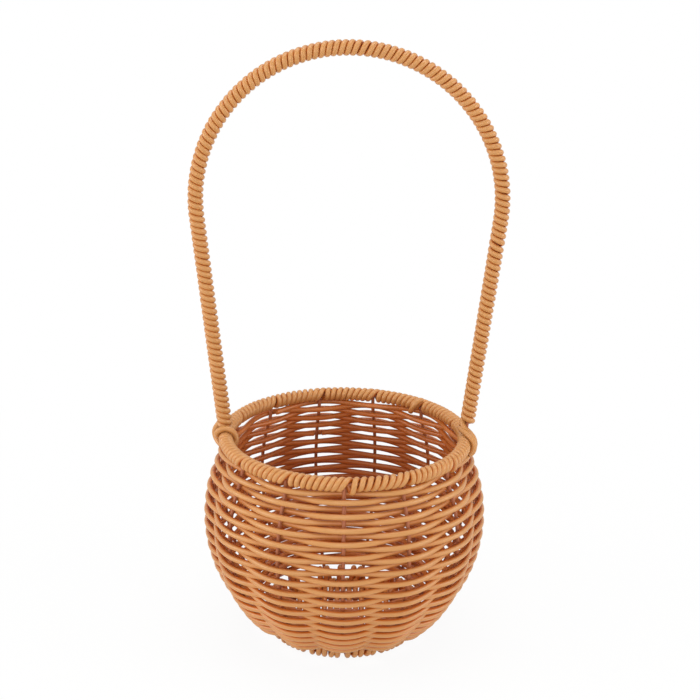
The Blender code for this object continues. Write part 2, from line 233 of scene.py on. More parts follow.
class BasketSizes(bpy.types.PropertyGroup):
    """The sizes of the wire frame, the weave and the windings."""

    cane: bpy.props.FloatProperty(
        name="Cane", description="Diameter of the cane", default=0.0030, unit="LENGTH"
    )
    stake: bpy.props.FloatProperty(
        name="Stake", description="Diameter of a stake", default=STAKE_DIAMETER, unit="LENGTH"
    )
    ring_wire: bpy.props.FloatProperty(
        name="Ring wire",
        description="Diameter of the wire of the rim and the foot",
        default=RING_WIRE_DIAMETER,
        unit="LENGTH",
    )
    handle_wire: bpy.props.FloatProperty(
        name="Handle wire",
        description="Diameter of the wire of the handle",
        default=HANDLE_WIRE_DIAMETER,
        unit="LENGTH",
    )
    floor_wire: bpy.props.FloatProperty(
        name="Floor wire",
        description="Diameter of a wire across the foot",
        default=0.0018,
        unit="LENGTH",
    )
    stakes: bpy.props.IntProperty(
        name="Stakes", description="Odd number of stakes", default=13, min=5
    )
    weave_start: bpy.props.FloatProperty(
        name="Weave start",
        description="Distance of the first round from the foot wire along the wall",
        default=0.0094,
        unit="LENGTH",
    )
    rounds: bpy.props.IntProperty(
        name="Rounds", description="Rounds of the woven wall", default=33, min=5
    )
    tight_pitch: bpy.props.FloatProperty(
        name="Tight pitch",
        description="Rise of one round at the foot, where the rounds are beaten down",
        default=0.00268,
        unit="LENGTH",
    )
    loose_pitch: bpy.props.FloatProperty(
        name="Loose pitch",
        description="Rise of one round at the rim",
        default=0.00356,
        unit="LENGTH",
    )
    rim_turns: bpy.props.IntProperty(
        name="Rim turns", description="Turns round the rim from stake to stake", default=9
    )
    rim_room: bpy.props.FloatProperty(
        name="Rim room",
        description="Room that the turns leave under the rim for a stake",
        default=0.0034,
        unit="LENGTH",
    )
    foot_room: bpy.props.FloatProperty(
        name="Foot room",
        description="Room that the turns leave under the foot for a stake",
        default=0.0020,
        unit="LENGTH",
    )
    foot_turns: bpy.props.IntProperty(
        name="Foot turns", description="Turns round the foot from stake to stake", default=5
    )
    handle_pitch: bpy.props.FloatProperty(
        name="Handle pitch",
        description="Rise of one turn along the handle",
        default=0.00325,
        unit="LENGTH",
    )


class BasketColours(bpy.types.PropertyGroup):
    """The colours of the cane, the wire and the stage."""

    cane: bpy.props.FloatVectorProperty(
        name="Cane",
        description="Main colour of the resin cane",
        default=linear("#CA9054"),
        subtype="COLOR",
    )
    cane_dark: bpy.props.FloatVectorProperty(
        name="Cane streak",
        description="Colour of the darker streaks in the resin",
        default=linear("#C08446"),
        subtype="COLOR",
    )
    # Painted shade: the deep colour that the cane is mixed towards in the seams, behind other canes
    # and inside the basket, where shade falls
    cane_painted_shade: bpy.props.FloatVectorProperty(
        name="Cane recess",
        description="Deeper colour that the resin keeps inside the basket and in its recesses",
        default=linear("#C66112"),
        subtype="COLOR",
    )
    wire: bpy.props.FloatVectorProperty(
        name="Wire",
        description="Paint of the wire frame",
        default=linear("#B66C44"),
        subtype="COLOR",
    )
    floor: bpy.props.FloatVectorProperty(
        name="Floor", description="Colour of the floor", default=linear("#F4F4F2"), subtype="COLOR"
    )


def sizes():
    return bpy.context.scene.basket_sizes


def colours():
    return bpy.context.scene.basket_colours


def nodes_of(prefix):
    """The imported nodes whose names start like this, in order."""
    return sorted(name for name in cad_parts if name.startswith(prefix))


# Materials


def add_node(tree, kind, settings=None, values=None, links=None):
    """Adds a node, sets its properties and its input values, and links outputs to its inputs."""
    node = tree.nodes.new(kind)
    for name, value in (settings or {}).items():
        setattr(node, name, value)
    for name, value in (values or {}).items():
        node.inputs[name].default_value = value
    for name, output in (links or {}).items():
        tree.links.new(output, node.inputs[name])
    return node


def new_material(name):
    """A material with an empty node tree, and its output."""
    material = bpy.data.materials.new(name)
    material.use_nodes = True
    tree = material.node_tree
    tree.nodes.clear()
    return material, tree, add_node(tree, "ShaderNodeOutputMaterial")


def inner_painted_shade(tree):
    """Painted shade, from 0 outside and above the rim to 1 on cane that faces the middle of the
    basket.
    """
    place = add_node(tree, "ShaderNodeTexCoord")
    level = add_node(
        tree,
        "ShaderNodeVectorMath",
        {"operation": "MULTIPLY"},
        {1: (1.0, 1.0, 0.0)},
        {0: place.outputs["Object"]},
    )
    outward = add_node(
        tree, "ShaderNodeVectorMath", {"operation": "NORMALIZE"}, links={0: level.outputs["Vector"]}
    )
    facing = add_node(
        tree,
        "ShaderNodeVectorMath",
        {"operation": "DOT_PRODUCT"},
        links={0: outward.outputs["Vector"], 1: place.outputs["Normal"]},
    )
    inward = add_node(
        tree,
        "ShaderNodeMapRange",
        {"interpolation_type": "SMOOTHSTEP"},
        {"From Min": 0.0, "From Max": INNER_FACING, "To Max": INNER_SHADE_SHARE},
        {"Value": facing.outputs["Value"]},
    )
    height = add_node(tree, "ShaderNodeSeparateXYZ", links={"Vector": place.outputs["Object"]})
    below = add_node(
        tree,
        "ShaderNodeMapRange",
        {"interpolation_type": "SMOOTHSTEP"},
        {"From Min": INNER_TOP, "From Max": INNER_FULL},
        {"Value": height.outputs["Z"]},
    )
    both = add_node(
        tree,
        "ShaderNodeMath",
        {"operation": "MULTIPLY"},
        links={0: inward.outputs["Result"], 1: below.outputs["Result"]},
    )
    return both.outputs["Value"]


def cane_material():
    """Extruded polyethylene cane: satin, with long faint streaks from the die and a few shades.

    The colour drifts slowly along a run, as it does where batches of resin meet, and the streaks
    are 0.5 mm wide and some 7 mm long, with a shallow relief that breaks up the highlight. Shade
    is painted into the colour: it is deeper inside the basket, in the seams and behind other canes.
    """
    material, tree, output = new_material("extruded_polyethylene_cane")
    run = add_node(tree, "ShaderNodeUVMap", {"uv_map": "UVMap"})
    split = add_node(tree, "ShaderNodeSeparateXYZ", links={"Vector": run.outputs["UV"]})
    turn = add_node(
        tree,
        "ShaderNodeMath",
        {"operation": "MULTIPLY"},
        {1: math.tau},
        {0: split.outputs["X"]},
    )
    across = add_node(
        tree, "ShaderNodeMath", {"operation": "COSINE"}, links={0: turn.outputs["Value"]}
    )
    sideways = add_node(
        tree, "ShaderNodeMath", {"operation": "SINE"}, links={0: turn.outputs["Value"]}
    )
    along = add_node(
        tree,
        "ShaderNodeMath",
        {"operation": "MULTIPLY"},
        {1: STREAK_RATE},
        {0: split.outputs["Y"]},
    )
    place = add_node(
        tree,
        "ShaderNodeCombineXYZ",
        links={
            "X": across.outputs["Value"],
            "Y": sideways.outputs["Value"],
            "Z": along.outputs["Value"],
        },
    )
    streaks = add_node(
        tree,
        "ShaderNodeTexNoise",
        values={"Scale": 3.0, "Detail": 1.0, "Roughness": 0.4},
        links={"Vector": place.outputs["Vector"]},
    )
    drift = add_node(
        tree,
        "ShaderNodeTexNoise",
        {"noise_dimensions": "1D"},
        {"Scale": 14.0, "Detail": 1.0},
        {"W": split.outputs["Y"]},
    )
    blend = add_node(
        tree,
        "ShaderNodeMath",
        {"operation": "MULTIPLY_ADD"},
        {1: STREAK_SHARE},
        {0: streaks.outputs["Fac"], 2: drift.outputs["Fac"]},
    )
    share = add_node(
        tree,
        "ShaderNodeMapRange",
        {"interpolation_type": "SMOOTHSTEP"},
        {"From Min": 0.36, "From Max": 0.84},
        {"Value": blend.outputs["Value"]},
    )
    mix = add_node(
        tree,
        "ShaderNodeMix",
        {"data_type": "RGBA"},
        {"A": (*colours().cane, 1.0), "B": (*colours().cane_dark, 1.0)},
        {"Factor": share.outputs["Result"]},
    )
    # Painted shade: the colour is mixed towards the deep shade colour in the seams, behind other
    # canes and inside the basket
    painted_shade = add_node(tree, "ShaderNodeAttribute", {"attribute_name": "painted_shade"})
    shade_share = add_node(
        tree,
        "ShaderNodeMath",
        {"operation": "MAXIMUM"},
        links={0: painted_shade.outputs["Fac"], 1: inner_painted_shade(tree)},
    )
    shaded_colour = add_node(
        tree,
        "ShaderNodeMix",
        {"data_type": "RGBA"},
        {"B": (*colours().cane_painted_shade, 1.0)},
        {"Factor": shade_share.outputs["Value"], "A": mix.outputs["Result"]},
    )
    gloss = add_node(
        tree,
        "ShaderNodeMapRange",
        values={"To Min": 0.34, "To Max": 0.44},
        links={"Value": streaks.outputs["Fac"]},
    )
    relief = add_node(
        tree,
        "ShaderNodeBump",
        values={"Strength": 0.12, "Distance": 0.00004},
        links={"Height": streaks.outputs["Fac"]},
    )
    shader = add_node(
        tree,
        "ShaderNodeBsdfPrincipled",
        values={"IOR": 1.5, "Specular IOR Level": 0.5},
        links={
            "Base Color": shaded_colour.outputs["Result"],
            "Roughness": gloss.outputs["Result"],
            "Normal": relief.outputs["Normal"],
        },
    )
    tree.links.new(shader.outputs["BSDF"], output.inputs["Surface"])
    return material


def wire_material():
    """Brown stoving enamel on steel wire: nearly matt, with a fine orange peel 0.5 mm across."""
    material, tree, output = new_material("stoved_enamel_on_wire")
    place = add_node(tree, "ShaderNodeTexCoord")
    peel = add_node(
        tree,
        "ShaderNodeTexNoise",
        values={"Scale": 1900.0, "Detail": 2.0},
        links={"Vector": place.outputs["Object"]},
    )
    wear = add_node(
        tree,
        "ShaderNodeTexNoise",
        values={"Scale": 120.0, "Detail": 3.0},
        links={"Vector": place.outputs["Object"]},
    )
    paint = colours().wire
    shade = add_node(
        tree,
        "ShaderNodeMix",
        {"data_type": "RGBA"},
        {"A": (*paint, 1.0), "B": (*[WORN_SHARE * part for part in paint], 1.0)},
        {"Factor": wear.outputs["Fac"]},
    )
    gloss = add_node(
        tree,
        "ShaderNodeMapRange",
        values={"To Min": 0.50, "To Max": 0.68},
        links={"Value": wear.outputs["Fac"]},
    )
    relief = add_node(
        tree,
        "ShaderNodeBump",
        values={"Strength": 0.2, "Distance": 0.00003},
        links={"Height": peel.outputs["Fac"]},
    )
    shader = add_node(
        tree,
        "ShaderNodeBsdfPrincipled",
        values={"IOR": 1.5},
        links={
            "Base Color": shade.outputs["Result"],
            "Roughness": gloss.outputs["Result"],
            "Normal": relief.outputs["Normal"],
        },
    )
    tree.links.new(shader.outputs["BSDF"], output.inputs["Surface"])
    return material


def finish_of(kind):
    """The material of this kind, made the first time it is asked for."""
    made = {"cane": "extruded_polyethylene_cane", "wire": "stoved_enamel_on_wire"}[kind]
    if made in bpy.data.materials:
        return bpy.data.materials[made]
    return cane_material() if kind == "cane" else wire_material()


# Lines of the basket


def direction(turn):
    """The direction at this turn in the plane of a section, from the right and anticlockwise."""
    return Vector((math.cos(turn), math.sin(turn)))


def around(angle, radius, height):
    """A point at this angle from the front, turning to the right as seen from the front."""
    return Vector((radius * math.sin(angle), -radius * math.cos(angle), height))


def bay_angle():
    return math.tau / sizes().stakes


class WallLine:
    """The line of a stake from the foot wire to the rim wire, by distance along it."""

    def __init__(self):
        belly_height = RIM_HEIGHT * BELLY_HEIGHT_SHARE
        neck_height = RIM_HEIGHT - NECK_DEPTH
        lower = (belly_height - FOOT_HEIGHT) / math.sqrt(1 - (FOOT_RADIUS / BELLY_RADIUS) ** 2)
        upper = (neck_height - belly_height) / math.sqrt(1 - (RIM_RADIUS / BELLY_RADIUS) ** 2)

        def on_ellipse(turn):
            half_height = upper if turn > 0 else lower
            return Vector(
                (BELLY_RADIUS * math.cos(turn), belly_height + half_height * math.sin(turn))
            )

        foot_turn = -math.acos(FOOT_RADIUS / BELLY_RADIUS)
        neck_turn = math.acos(RIM_RADIUS / BELLY_RADIUS)
        bend_turn = neck_turn - NECK_BEND / upper
        shares = [step / PROFILE_STEPS for step in range(PROFILE_STEPS + 1)]
        self.points = [on_ellipse(foot_turn + (bend_turn - foot_turn) * share) for share in shares]
        bend_start = self.points[-1]
        neck = on_ellipse(neck_turn)
        bend_end = neck + Vector((0.0, NECK_BEND))
        for share in shares[1:]:
            low = bend_start.lerp(neck, share)
            high = neck.lerp(bend_end, share)
            self.points.append(low.lerp(high, share))
        self.points.append(Vector((RIM_RADIUS, RIM_HEIGHT)))
        self.distances = [0.0]
        for before, after in zip(self.points, self.points[1:]):
            self.distances.append(self.distances[-1] + (after - before).length)
        self.length = self.distances[-1]

    def place(self, distance):
        """The radius and height at this distance, and the outward normal there."""
        low, high = 0, len(self.points) - 1
        while high - low > 1:
            middle = (low + high) // 2
            if self.distances[middle] < distance:
                low = middle
            else:
                high = middle
        before, after = self.points[low], self.points[high]
        share = (distance - self.distances[low]) / (self.distances[high] - self.distances[low])
        along = (after - before).normalized()
        return before.lerp(after, share), Vector((along.y, -along.x))


class HandleLine:
    """The line of the handle wire: a leg, a half circle and more, and a leg."""

    def __init__(self):
        self.foot = Vector((RIM_RADIUS, RIM_HEIGHT))
        self.centre = Vector((0.0, HANDLE_ARCH_HEIGHT))
        reach = self.foot - self.centre
        self.tangent_turn = math.atan2(reach.y, reach.x) + math.acos(
            HANDLE_ARCH_RADIUS / reach.length
        )
        self.leg = math.sqrt(reach.length**2 - HANDLE_ARCH_RADIUS**2)
        self.arch = HANDLE_ARCH_RADIUS * (math.pi - 2 * self.tangent_turn)
        self.length = 2 * self.leg + self.arch

    def on_arch(self, turn):
        return self.centre + HANDLE_ARCH_RADIUS * direction(turn)

    def place(self, distance):
        along = min(distance, self.length - distance)
        side = -1 if distance < self.length / 2 else 1
        if along < self.leg:
            point = self.foot.lerp(self.on_arch(self.tangent_turn), along / self.leg)
        else:
            point = self.on_arch(self.tangent_turn + (along - self.leg) / HANDLE_ARCH_RADIUS)
        return Vector((side * point.x, 0.0, point.y))

    def across(self, distance, phase):
        """The direction square to the wire, turned by the phase from outside towards the back."""
        step = HANDLE_ARCH_RADIUS / 1000
        along = (self.place(distance + step) - self.place(distance - step)).normalized()
        outward = Vector((-along.z, 0.0, along.x))
        return math.cos(phase) * outward + math.sin(phase) * Vector((0.0, 1.0, 0.0))


def wander(kind, place, strand=0):
    """How far a run wanders at this place along it: smooth, and the same each time."""
    most, rate, seed = WANDERS[kind]
    spot = Vector((place * rate, SEED_STRIDE * (seed + strand), SEED_LEVEL))
    return most * noise.noise(spot)


# Making and finishing a run of cane or wire


def mark_painted_shade(run, points, sides, closed):
    """Marks how much shade is painted into the run's colour, for the material of the cane.

    Each point of the run has the direction of its open side, and a depth from 0 for a run in the
    open to 1 for one behind others. The mesh has a ring of vertices for each point, and before
    these, on an open run, one for the cap at its end and one for that at its start.
    """
    rings = list(zip(points, sides))
    if not closed:
        rings = [rings[-1], rings[0], *rings]
    each = len(run.data.vertices) // len(rings)
    if each * len(rings) != len(run.data.vertices):
        raise RuntimeError(f"{run.name} has rings of different sizes")
    shares = []
    vertices = iter(run.data.vertices)
    for point, (open_side, depth) in rings:
        # Painted shade behind other canes, and in the seams on the sides turned away from the open
        # side
        behind = PAINTED_DEPTH_SHARE * depth**2
        for _ in range(each):
            facing = (next(vertices).co - point).normalized().dot(open_side)
            past = min(max(1 - facing / PAINTED_SEAM_FACING, 0.0), 1.0)
            turned = 1 + TURNED_LOSS * min(facing, 0.0)
            shares.append(max(PAINTED_SEAM_SHARE * turned * past * past * (3 - 2 * past), behind))
    run.data.attributes.new("painted_shade", "FLOAT", "POINT").data.foreach_set("value", shares)


def sides_from(cores, points):
    """The open side of each point of a winding, in the open: away from the core inside it."""
    return [((point - core).normalized(), 0.0) for point, core in zip(points, cores)]


def lay_run(
    name, points, diameter, resolution, closed=False, twist="MINIMUM", widths=None, sides=None
):
    """One round bar through the points, as a closed mesh whose V is its length in metres."""
    bpy.ops.object.select_all(action="DESELECT")
    bpy.ops.curve.primitive_nurbs_path_add()
    run = bpy.context.object
    run.name = name
    curve = run.data
    curve.splines.clear()
    spline = curve.splines.new("POLY")
    spline.points.add(len(points) - 1)
    for point, co in zip(spline.points, points):
        point.co = (*co, 1.0)
    for point, width in zip(spline.points, widths or []):
        point.radius = width
    spline.use_cyclic_u = closed
    curve.bevel_depth = diameter / 2
    curve.bevel_resolution = resolution
    curve.use_fill_caps = not closed
    curve.twist_mode = twist
    bpy.ops.object.convert(target="MESH")
    if sides:
        mark_painted_shade(run, points, sides, closed)
    bpy.ops.object.mode_set(mode="EDIT")
    bpy.ops.mesh.select_all(action="SELECT")
    bpy.ops.mesh.remove_doubles(threshold=MERGE_DISTANCE)
    bpy.ops.mesh.normals_make_consistent(inside=False)
    bpy.ops.object.mode_set(mode="OBJECT")
    length = sum((after - before).length for before, after in zip(points, points[1:]))
    for corner in run.data.uv_layers.active.data:
        corner.uv.y *= length
    return run


def finish_piece(piece, kind, *nodes):
    """Smooth shading, the material and its slot, and the CAD nodes that the piece stands for."""
    piece.data.materials.clear()
    piece.data.materials.append(finish_of(kind))
    bpy.ops.object.select_all(action="DESELECT")
    piece.select_set(True)
    bpy.context.view_layer.objects.active = piece
    bpy.ops.object.shade_smooth_by_angle(angle=SMOOTH_ANGLE)
    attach(piece, "root")
    if nodes:
        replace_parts(piece, *nodes)


# Pieces


class BASKET_OT_ring_wires(bpy.types.Operator):
    """Bend the wires of the rim and the foot"""

    bl_idname = "basket.ring_wires"
    bl_label = "Ring wires"

    def execute(self, context):
        for node, radius, height in (
            ("rim_wire", RIM_RADIUS, RIM_HEIGHT),
            ("foot_wire", FOOT_RADIUS, FOOT_HEIGHT),
        ):
            points = [
                around(math.tau * step / RING_STEPS, radius, height) for step in range(RING_STEPS)
            ]
            wire = lay_run(
                f"{node}_bent", points, sizes().ring_wire, WIRE_RESOLUTION, True, "Z_UP"
            )
            finish_piece(wire, "wire", node)
        return {"FINISHED"}


class BASKET_OT_stakes(bpy.types.Operator):
    """Bend the front stake, and set a copy of it at each place round the basket"""

    bl_idname = "basket.stakes"
    bl_label = "Stakes"

    def execute(self, context):
        line = WallLine()
        inset = sizes().ring_wire / 2
        points = []
        for step in range(STAKE_STEPS + 1):
            place, _ = line.place(inset + (line.length - 2 * inset) * step / STAKE_STEPS)
            points.append(around(0.0, place.x, place.y))
        first = lay_run("stake_01_bent", points, sizes().stake, WIRE_RESOLUTION)
        finish_piece(first, "wire", "stake_01")
        for index in range(1, sizes().stakes):
            stake = first.copy()
            stake.data = first.data.copy()
            stake.name = f"stake_{index + 1:02d}_bent"
            context.scene.collection.objects.link(stake)
            stake.data.transform(Matrix.Rotation(index * bay_angle(), 4, "Z"))
            # The copy stands for a node of its own, not for the first stake's
            del stake["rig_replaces"]
            finish_piece(stake, "wire", f"stake_{index + 1:02d}")
        return {"FINISHED"}


class BASKET_OT_floor_wires(bpy.types.Operator):
    """Lay the wires across the foot"""

    bl_idname = "basket.floor_wires"
    bl_label = "Floor wires"

    def execute(self, context):
        for node in nodes_of("floor_wire_"):
            low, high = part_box(node)
            across = (low.y + high.y) / 2
            height = (low.z + high.z) / 2
            points = [
                Vector((low.x + (high.x - low.x) * step / FLOOR_WIRE_STEPS, across, height))
                for step in range(FLOOR_WIRE_STEPS + 1)
            ]
            wire = lay_run(f"{node}_straight", points, sizes().floor_wire, WIRE_RESOLUTION)
            finish_piece(wire, "wire", node)
        return {"FINISHED"}


class BASKET_OT_floor_canes(bpy.types.Operator):
    """Weave the canes of the floor over and under the wires across the foot"""

    bl_idname = "basket.floor_canes"
    bl_label = "Floor canes"

    def execute(self, context):
        first_low, first_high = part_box("floor_wire_1")
        next_low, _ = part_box("floor_wire_2")
        spacing = next_low.y - first_low.y
        height = (first_low.z + first_high.z) / 2
        swing = (sizes().floor_wire + sizes().cane) / 2 + CONTACT
        for index, node in enumerate(nodes_of("floor_cane_")):
            low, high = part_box(node)
            across = (low.x + high.x) / 2
            side = 1 if index % 2 else -1
            steps = FLOOR_CANE_STEPS * max(2, round((high.y - low.y) / spacing))
            points = []
            for step in range(steps + 1):
                along = low.y + (high.y - low.y) * step / steps
                wave = math.cos(math.pi * along / spacing)
                place = across + wander("floor_place", along, index)
                points.append(Vector((place, along, height + side * swing * wave)))
            sides = [(Vector((0.0, 0.0, 1.0)), 1.0)] * len(points)
            cane = lay_run(f"{node}_woven", points, sizes().cane, CANE_RESOLUTION, sides=sides)
            finish_piece(cane, "cane", node)
        return {"FINISHED"}


def round_distance(turns):
    """How far up the wall the weaver is after this many rounds.

    The rounds are beaten down tight at the foot, and looser further up. At the back they lie
    higher, and most of all at the peak's share of the way up. The last half round climbs no more,
    so it fills the wedge that the spiral leaves under the rim.
    """
    size = sizes()
    growth = (size.loose_pitch - size.tight_pitch) / (2 * size.rounds)
    turns = min(turns, size.rounds + 0.5)
    near_rim = max((turns - size.rounds + TOP_ROUNDS) / TOP_ROUNDS, 0.0)
    at_back = math.sin(math.pi * turns) ** 2
    raised = at_back * (TOP_RISE if near_rim > 1 else -TOP_DROP * near_rim**2)
    share = min(turns / size.rounds, 1.0)
    if share < BACK_RAISE_PEAK:
        low = math.cos(math.pi / 2 * share / BACK_RAISE_PEAK) ** 2
        lift = 1 - (1 - BACK_RAISE_START) * low
    else:
        lift = math.cos(math.pi / 2 * (share - BACK_RAISE_PEAK) / (1 - BACK_RAISE_PEAK))
    raised += BACK_RAISE * lift * at_back**3
    risen = min(turns, size.rounds)
    return size.weave_start + size.tight_pitch * risen + growth * risen**2 + raised


def weaver_side(line, crossing):
    """The open side of the weaver at this place, and how far it lies behind the others."""
    _, normal = line.place(round_distance(crossing / sizes().stakes))
    depth = 0.5 - 0.5 * math.cos(math.pi * crossing)
    return around(crossing * bay_angle(), normal.x, normal.y), depth


def weaver_point(line, crossing):
    """A place on the woven spiral, counted in stakes passed: outside even ones, inside odd ones."""
    size = sizes()
    turns = crossing / size.stakes
    looseness = turns / size.rounds
    rise = (1 + WEAVE_LOOSENING * looseness) * wander("weave_rise", crossing)
    place, normal = line.place(round_distance(turns) + rise)
    swing = (size.stake + size.cane) / 2 + CONTACT
    swing *= 1 + wander("weave_swing", crossing)
    swung = place + normal * swing * math.cos(math.pi * crossing)
    return around(crossing * bay_angle(), swung.x, swung.y)


class BASKET_OT_weavers(bpy.types.Operator):
    """Weave the wall: one spiral in five lengths, each from behind one stake to behind another"""

    bl_idname = "basket.weavers"
    bl_label = "Woven wall"

    def execute(self, context):
        line = WallLine()
        crossings = sizes().rounds * sizes().stakes
        # The lengths meet at odd crossings, where the weaver passes behind a stake
        joins = [
            2 * round(crossings * share / WEAVER_LENGTHS / 2) + 1
            for share in range(WEAVER_LENGTHS)
        ]
        joins.append(2 * ((crossings - 1) // 2) + 1 + TOP_EXTRA_BAYS)
        for index in range(WEAVER_LENGTHS):
            steps = (joins[index + 1] - joins[index]) * STEPS_PER_BAY
            places = [joins[index] + step / STEPS_PER_BAY for step in range(1, steps)]
            points = [weaver_point(line, place) for place in places]
            widths = [1 + wander("weave_width", step, index) for step in range(len(points))]
            cane = lay_run(
                f"weaver_{index + 1}_woven",
                points,
                sizes().cane,
                CANE_RESOLUTION,
                twist="Z_UP",
                widths=widths,
                sides=[weaver_side(line, place) for place in places],
            )
            finish_piece(cane, "cane", f"weaver_{index + 1}")
        return {"FINISHED"}


def curved(stops, share):
    """A smooth way from the second to the third of four stops, which are numbers or points."""
    before, start, end, after = stops
    return 0.5 * (
        2 * start
        + (end - before) * share
        + (2 * before - 5 * start + 4 * end - after) * share**2
        + (3 * start - before - 3 * end + after) * share**3
    )


class RingWinding:
    """Where the turns round a ring pass under it and over it, by distance along the ring.

    Below the ring the turns leave room for each stake. Above it they are spread evenly, so they
    fan out towards the stakes. A strand takes every place, or every second one where two strands
    are wound side by side.
    """

    def __init__(self, radius, turns_by_bay, room, strands):
        bay_length = bay_angle() * radius
        self.length = bay_length * len(turns_by_bay)
        self.strands = strands
        self.under, self.over = [], []
        for bay, turns in enumerate(turns_by_bay):
            middle = (bay + 0.5) * bay_length
            for turn in range(turns):
                past = turn - (turns - 1) / 2
                self.under.append(middle + past * (bay_length - room) / turns)
                self.over.append(middle + (past + strands / 2) * bay_length / turns)

    def mark(self, first, half_turn):
        """Where the strand that starts at this place is after so many half turns."""
        lap, turn = divmod(first + half_turn // 2 * self.strands, len(self.under))
        places = self.over if half_turn % 2 else self.under
        return lap * self.length + places[turn]

    def place(self, first, turns):
        """Where the strand is after this many turns, smoothly between its marks."""
        half_turn = math.floor(2 * turns)
        stops = [self.mark(first, half_turn + step) for step in (-1, 0, 1, 2)]
        return curved(stops, 2 * turns - half_turn)


def join_pieces(name, pieces):
    """One mesh of several, under this name."""
    bpy.ops.object.select_all(action="DESELECT")
    for piece in pieces:
        piece.select_set(True)
    bpy.context.view_layer.objects.active = pieces[0]
    bpy.ops.object.join()
    pieces[0].name = name
    return pieces[0]


class BASKET_OT_rim_winding(bpy.types.Operator):
    """Wind the rim with two strands side by side, with room for each stake"""

    bl_idname = "basket.rim_winding"
    bl_label = "Rim winding"

    def execute(self, context):
        size = sizes()
        turns_by_bay = [size.rim_turns - (bay in LOOSE_BAYS) for bay in range(size.stakes)]
        winding = RingWinding(RIM_RADIUS, turns_by_bay, size.rim_room, 2)
        total = sum(turns_by_bay)
        laps = 1 + total % 2
        turns = total * laps // 2
        radius = (size.ring_wire + size.cane) / 2 + CONTACT
        slack_starts = [sum(turns_by_bay[:bay]) for bay in SLACK_BAYS]
        strands = []
        for first in range(3 - laps):
            points, cores = [], []
            for step in range(turns * STEPS_PER_TURN):
                turn = step / STEPS_PER_TURN
                phase = math.tau * turn - math.pi / 2
                along = winding.place(first, turn) + wander("rim_place", turn, first)
                reach = radius + wander("rim_lift", turn, first)
                place = (first + 2 * math.floor(turn + 0.5)) % total
                if place in slack_starts and math.sin(phase) < 0:
                    reach += SLACK_DROP * math.sin(phase) ** 2
                points.append(
                    around(
                        along / RIM_RADIUS,
                        RIM_RADIUS + (reach if math.cos(phase) > 0 else radius) * math.cos(phase),
                        RIM_HEIGHT + reach * math.sin(phase),
                    )
                )
                cores.append(around(along / RIM_RADIUS, RIM_RADIUS, RIM_HEIGHT))
            sides = sides_from(cores, points)
            name = f"rim_strand_{first}"
            strands.append(lay_run(name, points, size.cane, CANE_RESOLUTION, True, sides=sides))
        stops = [
            rim_spot(LOOSE_END_STAKE * bay_angle() * RIM_RADIUS + along / 1000, turn, reach / 1000)
            for along, turn, reach in LOOSE_END
        ]
        strands.append(lay_run("rim_loose_end", through(stops), size.cane, CANE_RESOLUTION))
        finish_piece(join_pieces("rim_winding_wound", strands), "cane", "rim_winding")
        return {"FINISHED"}


def loop_outline(ring_centre, ring_reach, row_centre, row_reach, steps):
    """A closed line round two circles, from under the ring outwards and over, evenly spaced."""
    axis = row_centre - ring_centre
    lean = math.atan2(axis.y, axis.x)
    spread = math.acos((ring_reach - row_reach) / axis.length)
    bottom = -math.pi / 2
    corners = []
    for centre, reach, start, end in (
        (ring_centre, ring_reach, bottom, lean - spread),
        (row_centre, row_reach, lean - spread, lean + spread),
        (ring_centre, ring_reach, lean + spread, bottom + math.tau),
    ):
        for step in range(LOOP_PARTS + 1):
            turn = start + (end - start) * step / LOOP_PARTS
            corners.append(centre + reach * direction(turn))
    marks = [0.0]
    for before, after in zip(corners, corners[1:]):
        marks.append(marks[-1] + (after - before).length)
    outline = []
    index = 1
    for step in range(steps):
        goal = marks[-1] * step / steps
        while marks[index] < goal:
            index += 1
        run = marks[index] - marks[index - 1]
        share = (goal - marks[index - 1]) / run if run else 0.0
        outline.append(corners[index - 1].lerp(corners[index], share))
    return outline


class BASKET_OT_foot_winding(bpy.types.Operator):
    """Wind the foot ring. Every second turn is tall, and reaches up inside to the lowest round"""

    bl_idname = "basket.foot_winding"
    bl_label = "Foot winding"

    def execute(self, context):
        size = sizes()
        winding = RingWinding(FOOT_RADIUS, [size.foot_turns] * size.stakes, size.foot_room, 1)
        radius = (size.ring_wire + size.cane) / 2 + CONTACT
        ring_centre = Vector((FOOT_RADIUS, FOOT_HEIGHT))
        line = WallLine()
        points, cores = [], []
        turns = size.foot_turns * size.stakes
        for index in range(turns):
            if index % size.foot_turns % 2 == 0:
                drop = LOOP_DROP * math.sin(math.pi * index / turns) ** 2
                top, normal = line.place(size.weave_start - drop)
                top -= normal * LOOP_INSET
                outline = loop_outline(ring_centre, radius, top, LOOP_BEND, 2 * STEPS_PER_TURN)
            else:
                outline = [
                    ring_centre + radius * direction(math.tau * step / STEPS_PER_TURN - math.pi / 2)
                    for step in range(STEPS_PER_TURN)
                ]
            for step, spot in enumerate(outline):
                turn = index + step / len(outline)
                along = winding.place(0, turn) + wander("foot_place", turn)
                height = max(spot.y, size.cane / 2)
                points.append(around(along / FOOT_RADIUS, spot.x, height))
                cores.append(around(along / FOOT_RADIUS, FOOT_RADIUS, FOOT_HEIGHT))
        sides = sides_from(cores, points)
        cane = lay_run("foot_winding_wound", points, size.cane, CANE_RESOLUTION, True, sides=sides)
        finish_piece(cane, "cane", "foot_winding")
        return {"FINISHED"}


class BASKET_OT_handle_wire(bpy.types.Operator):
    """Bend the wire of the handle"""

    bl_idname = "basket.handle_wire"
    bl_label = "Handle wire"

    def execute(self, context):
        line = HandleLine()
        inset = sizes().ring_wire / 2
        points = [
            line.place(inset + (line.length - 2 * inset) * step / HANDLE_STEPS)
            for step in range(HANDLE_STEPS + 1)
        ]
        wire = lay_run("handle_wire_bent", points, sizes().handle_wire, WIRE_RESOLUTION)
        finish_piece(wire, "wire", "handle_wire")
        return {"FINISHED"}


